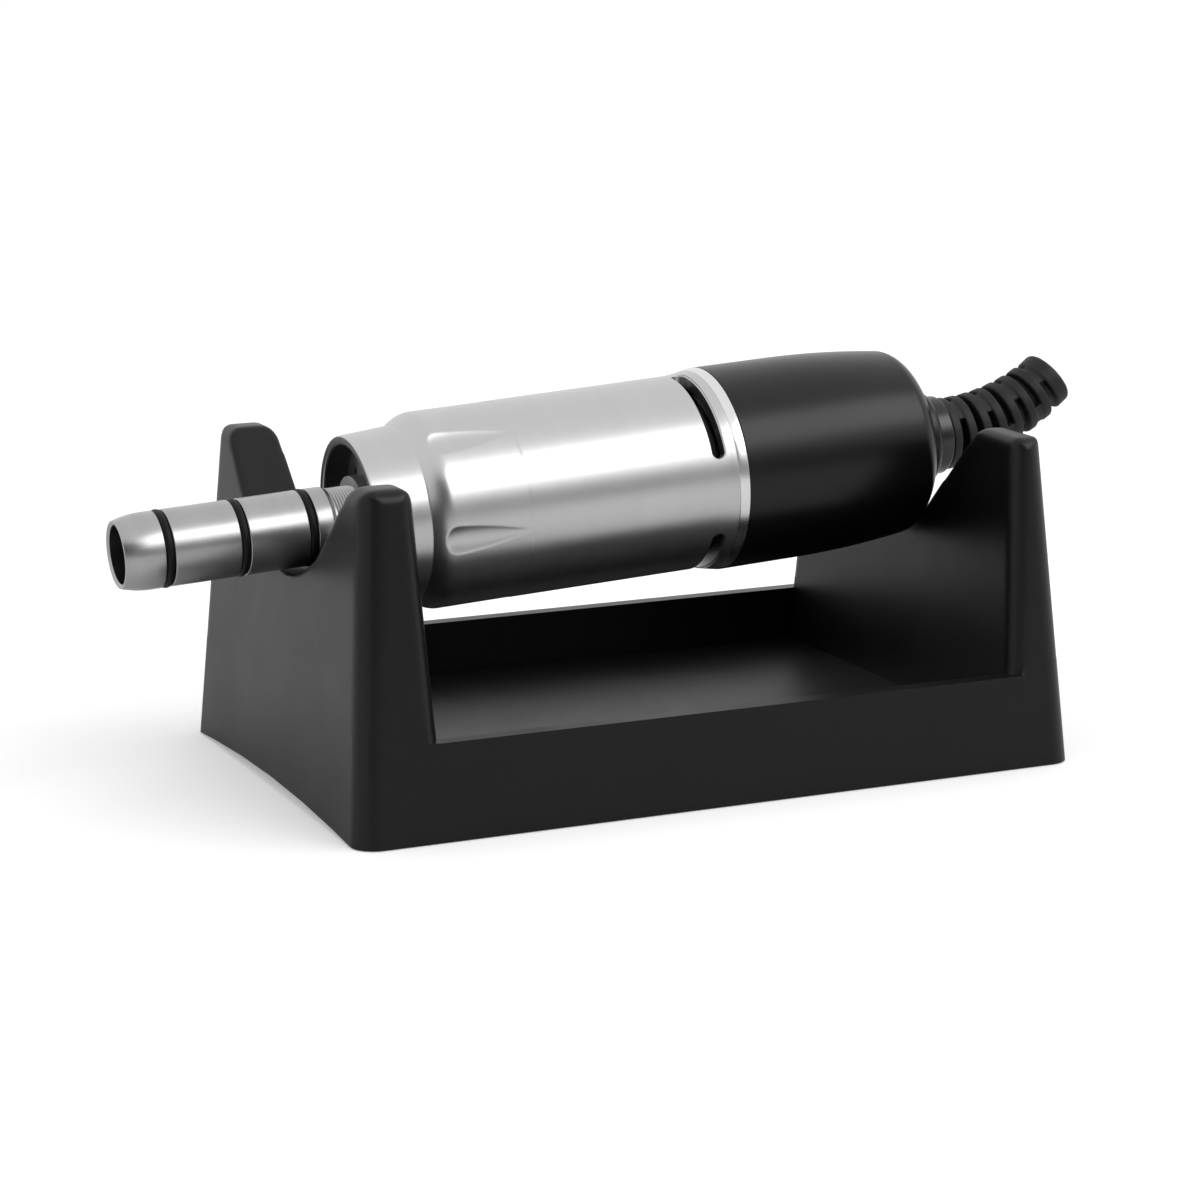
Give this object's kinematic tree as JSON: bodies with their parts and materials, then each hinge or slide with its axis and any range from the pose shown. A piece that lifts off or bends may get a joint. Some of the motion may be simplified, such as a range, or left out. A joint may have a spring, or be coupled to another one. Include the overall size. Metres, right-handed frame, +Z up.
{
  "type": "dental micromotor with desk stand",
  "caption": "Dental micromotor with a metal grip, a ringed nose and a dark rear hood with a cable boot, resting in the notches of a moulded desk stand.",
  "frame": {"origin": "on the desk, under the middle of the whole", "axes": "+X along the stand towards the cable end, +Y away from the viewer, +Z up"},
  "size_m": [0.1248, 0.06, 0.0466],
  "materials": {
    "stand_plastic": "satin moulded black plastic",
    "nose_steel": "fine turned steel",
    "ring_rubber": "smooth black rubber",
    "flange_alloy": "turned aluminium",
    "grip_alloy": "satin bead-blasted aluminium",
    "ring_alloy": "bright turned aluminium",
    "hood_plastic": "satin black plastic",
    "gland_metal": "dark plated steel",
    "boot_rubber": "matte black rubber",
    "can_steel": "plain steel",
    "magnet_ferrite": "sintered ferrite, dark grey",
    "holder_resin": "phenolic resin, brown",
    "carbon": "graphite",
    "brass": "bright",
    "spring_steel": "bright spring wire",
    "bearing_steel": "ground and polished",
    "cage_resin": "natural cage resin",
    "core_steel": "stacked laminations",
    "copper": "enamelled copper wire",
    "fan_plastic": "black moulded plastic"
  },
  "bodies": {
    "stand": {"stand_body": "stand_plastic"},
    "motor_case": {"nose_tube": "nose_steel", "o_ring_front": "ring_rubber", "o_ring_middle": "ring_rubber", "o_ring_rear": "ring_rubber", "front_flange": "flange_alloy", "grip_sleeve": "grip_alloy", "rear_ring": "ring_alloy", "rear_hood": "hood_plastic", "gland_boss": "hood_plastic", "gland_nut": "gland_metal", "gland_locknut": "brass", "cable_boot": "boot_rubber", "motor_can": "can_steel", "field_magnets": "magnet_ferrite", "brush_holder": "holder_resin", "carbon_brushes": "carbon", "brush_springs": "spring_steel", "brush_caps": "brass", "terminal_tabs": "brass", "front_bearing_outer": "bearing_steel", "rear_bearing_outer": "bearing_steel"},
    "rotor": {"motor_shaft": "bearing_steel", "armature_core": "core_steel", "armature_windings": "copper", "commutator": "copper", "cooling_fan": "fan_plastic", "front_bearing_inner": "bearing_steel", "rear_bearing_inner": "bearing_steel", "dog_pin": "bearing_steel", "dog_spring": "spring_steel"},
    "front_cage": {"front_bearing_cage": "cage_resin", "front_bearing_balls": "bearing_steel"},
    "rear_cage": {"rear_bearing_cage": "cage_resin", "rear_bearing_balls": "bearing_steel"},
    "drive_dog": {"drive_dog": "bearing_steel"}
  },
  "joints": [
    {"name": "motor_lift", "type": "slide", "parent": "stand", "child": "motor_case", "axis": [0, 0, 1], "range_m": [0, 0.06]},
    {"name": "rotor_spin", "type": "hinge", "parent": "motor_case", "child": "rotor", "pos_m": [0.00106, 0, 0.03287], "axis": [0.9983, 0, 0.0584], "continuous": true},
    {"name": "front_cage_spin", "type": "hinge", "parent": "motor_case", "child": "front_cage", "pos_m": [0.00106, 0, 0.03287], "axis": [0.9983, 0, 0.0584], "continuous": true},
    {"name": "rear_cage_spin", "type": "hinge", "parent": "motor_case", "child": "rear_cage", "pos_m": [0.00106, 0, 0.03287], "axis": [0.9983, 0, 0.0584], "continuous": true},
    {"name": "dog_slide", "type": "slide", "parent": "rotor", "child": "drive_dog", "axis": [0.9983, 0, 0.0584], "range_m": [0, 0.0015], "stiffness_N_per_m": 200, "springref_m": -0.0005, "deforming": ["dog_spring"]}
  ],
  "couplings": [
    {"joint": "front_cage_spin", "follows": "rotor_spin", "ratio": 0.3555},
    {"joint": "rear_cage_spin", "follows": "rotor_spin", "ratio": 0.3555}
  ]
}
